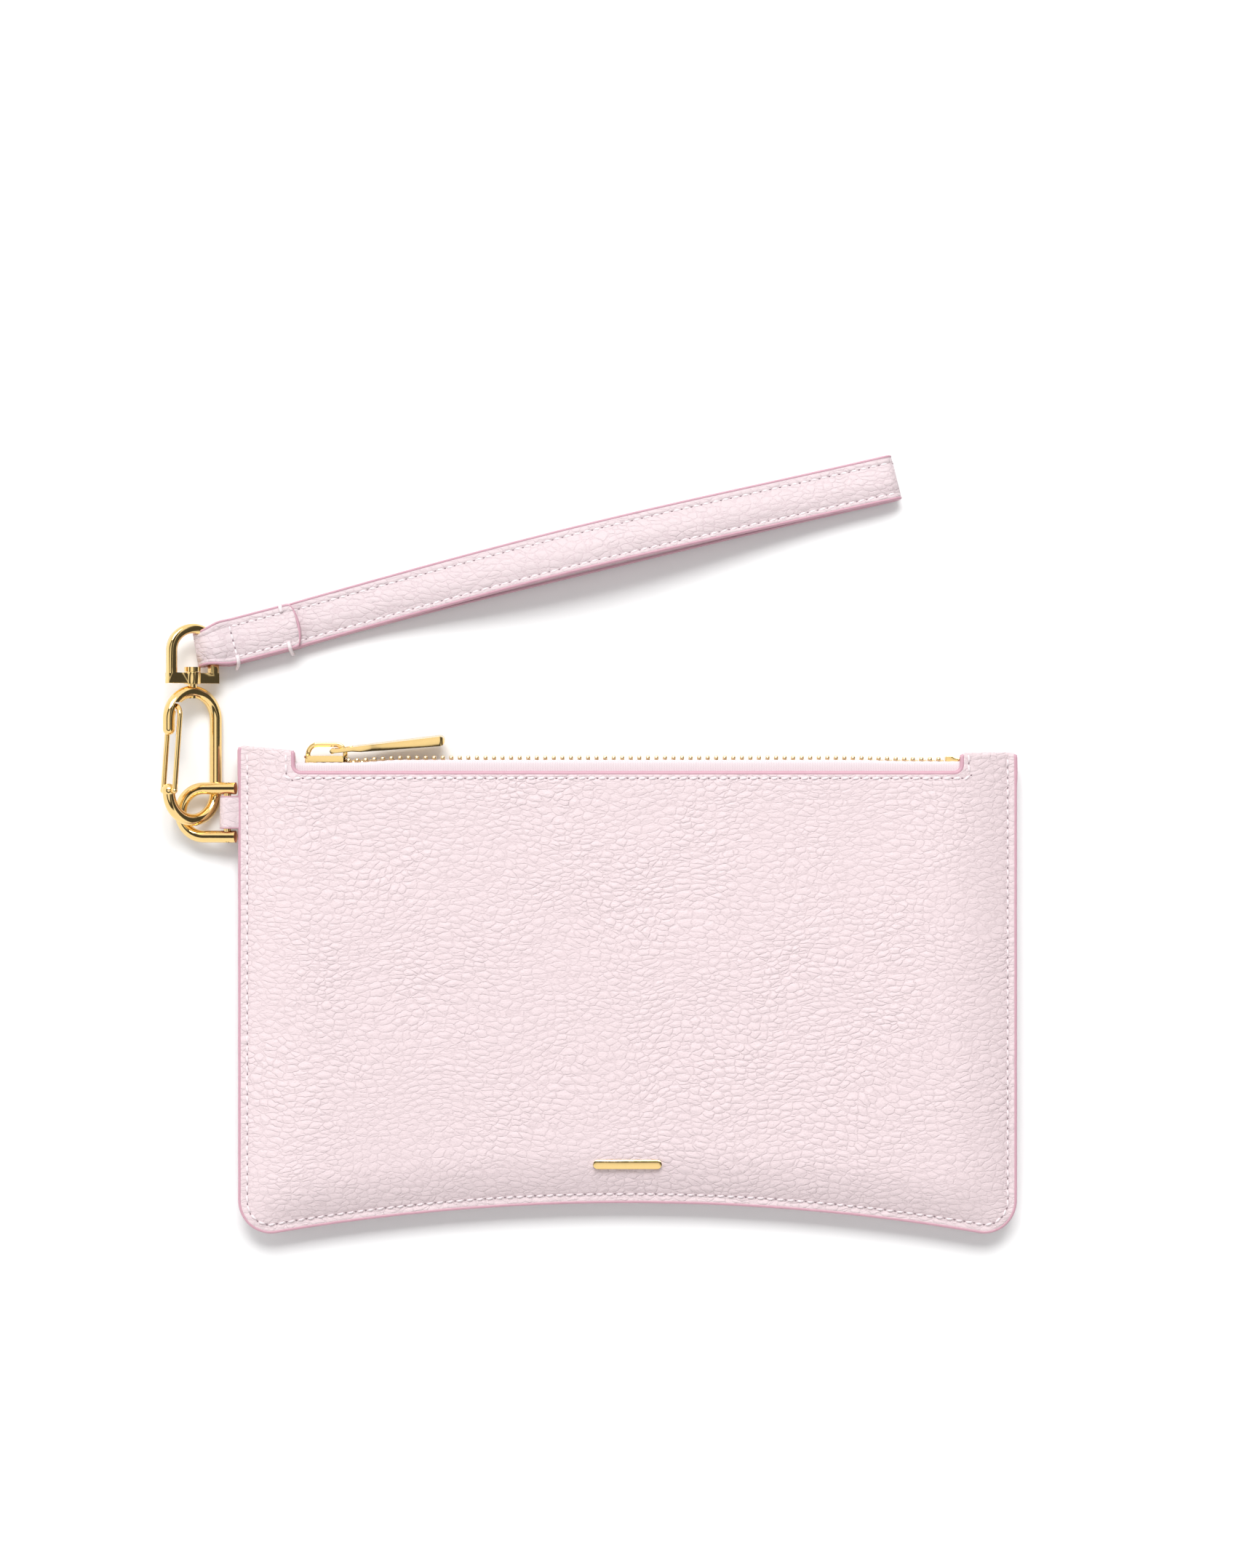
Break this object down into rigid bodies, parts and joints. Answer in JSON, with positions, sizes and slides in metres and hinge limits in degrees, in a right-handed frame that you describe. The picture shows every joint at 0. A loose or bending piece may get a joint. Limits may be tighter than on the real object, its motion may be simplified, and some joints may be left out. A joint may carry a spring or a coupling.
{
  "type": "wristlet wallet",
  "caption": "Flat zipped leather pouch with a side tab, a shackle, a swivel clip hook and a looped wrist strap.",
  "frame": {"origin": "middle of the back panel's outer face, where the pouch lies on a table", "axes": "+X to the right along the pouch, +Y towards the zip, +Z out of the front panel"},
  "size_m": [0.2353, 0.2151, 0.0145],
  "materials": {
    "leather": "pebbled pale pink calf leather, satin",
    "strap_leather": "the same pebbled leather, with painted edges",
    "lining": "smooth woven lining",
    "zip_tape": "woven zip tape",
    "gold_metal": "polished light gold plating"
  },
  "bodies": {
    "pouch": {"front_panel": "leather", "back_panel": "leather", "front_lining": "lining", "back_lining": "lining", "slip_pocket": "lining", "zip_tape_front": "zip_tape", "zip_tape_back": "zip_tape", "zip_teeth_front": "gold_metal", "zip_teeth_back": "gold_metal", "zip_top_stops": "gold_metal", "zip_bottom_stop": "gold_metal", "side_tab": "leather", "plain_badge": "gold_metal"},
    "zip_slider": {"slider_body": "gold_metal", "slider_bail": "gold_metal"},
    "zip_pull": {"pull_tab": "gold_metal"},
    "shackle_link": {"shackle": "gold_metal", "shackle_pin": "gold_metal"},
    "clip_hook": {"hook_frame": "gold_metal", "swivel_pin": "gold_metal"},
    "hook_gate": {"gate_wire": "gold_metal"},
    "swivel": {"swivel_bail": "gold_metal"},
    "wrist_strap": {"strap_wrap": "strap_leather", "strap_lower_run": "strap_leather", "strap_upper_run": "strap_leather"}
  },
  "joints": [
    {"name": "zip_slide", "type": "slide", "parent": "pouch", "child": "zip_slider", "axis": [1, 0, 0], "range_m": [0, 0.162], "deforming": ["zip_teeth_front", "zip_teeth_back"]},
    {"name": "pull_hinge", "type": "hinge", "parent": "zip_slider", "child": "zip_pull", "pos_m": [-0.0812, 0.0662, 0.006], "axis": [0.0098, -0.1041, 0.9945], "range_deg": [0, 140]},
    {"name": "shackle_hinge", "type": "hinge", "parent": "pouch", "child": "shackle_link", "pos_m": [-0.1102, 0.04915, 0.0065], "axis": [0, 1, 0], "range_deg": [-15, 100]},
    {"name": "hook_swing", "type": "hinge", "parent": "shackle_link", "child": "clip_hook", "pos_m": [-0.11685, 0.04915, 0.00509], "axis": [-0.2079, 0, 0.9781], "range_deg": [-8, 60]},
    {"name": "gate_hinge", "type": "hinge", "parent": "clip_hook", "child": "hook_gate", "pos_m": [-0.12565, 0.0552, 0.01157], "axis": [-0.6428, 0, -0.766], "range_deg": [0, 22], "stiffness_Nm_per_rad": 0.01, "springref_deg": -17.19},
    {"name": "swivel_turn", "type": "hinge", "parent": "clip_hook", "child": "swivel", "pos_m": [-0.1198, 0.0862, 0.00666], "axis": [0, 1, 0], "continuous": true},
    {"name": "strap_hinge", "type": "hinge", "parent": "swivel", "child": "wrist_strap", "pos_m": [-0.11441, 0.092, 0.0038], "axis": [0, -1, 0], "range_deg": [0, 75]}
  ]
}
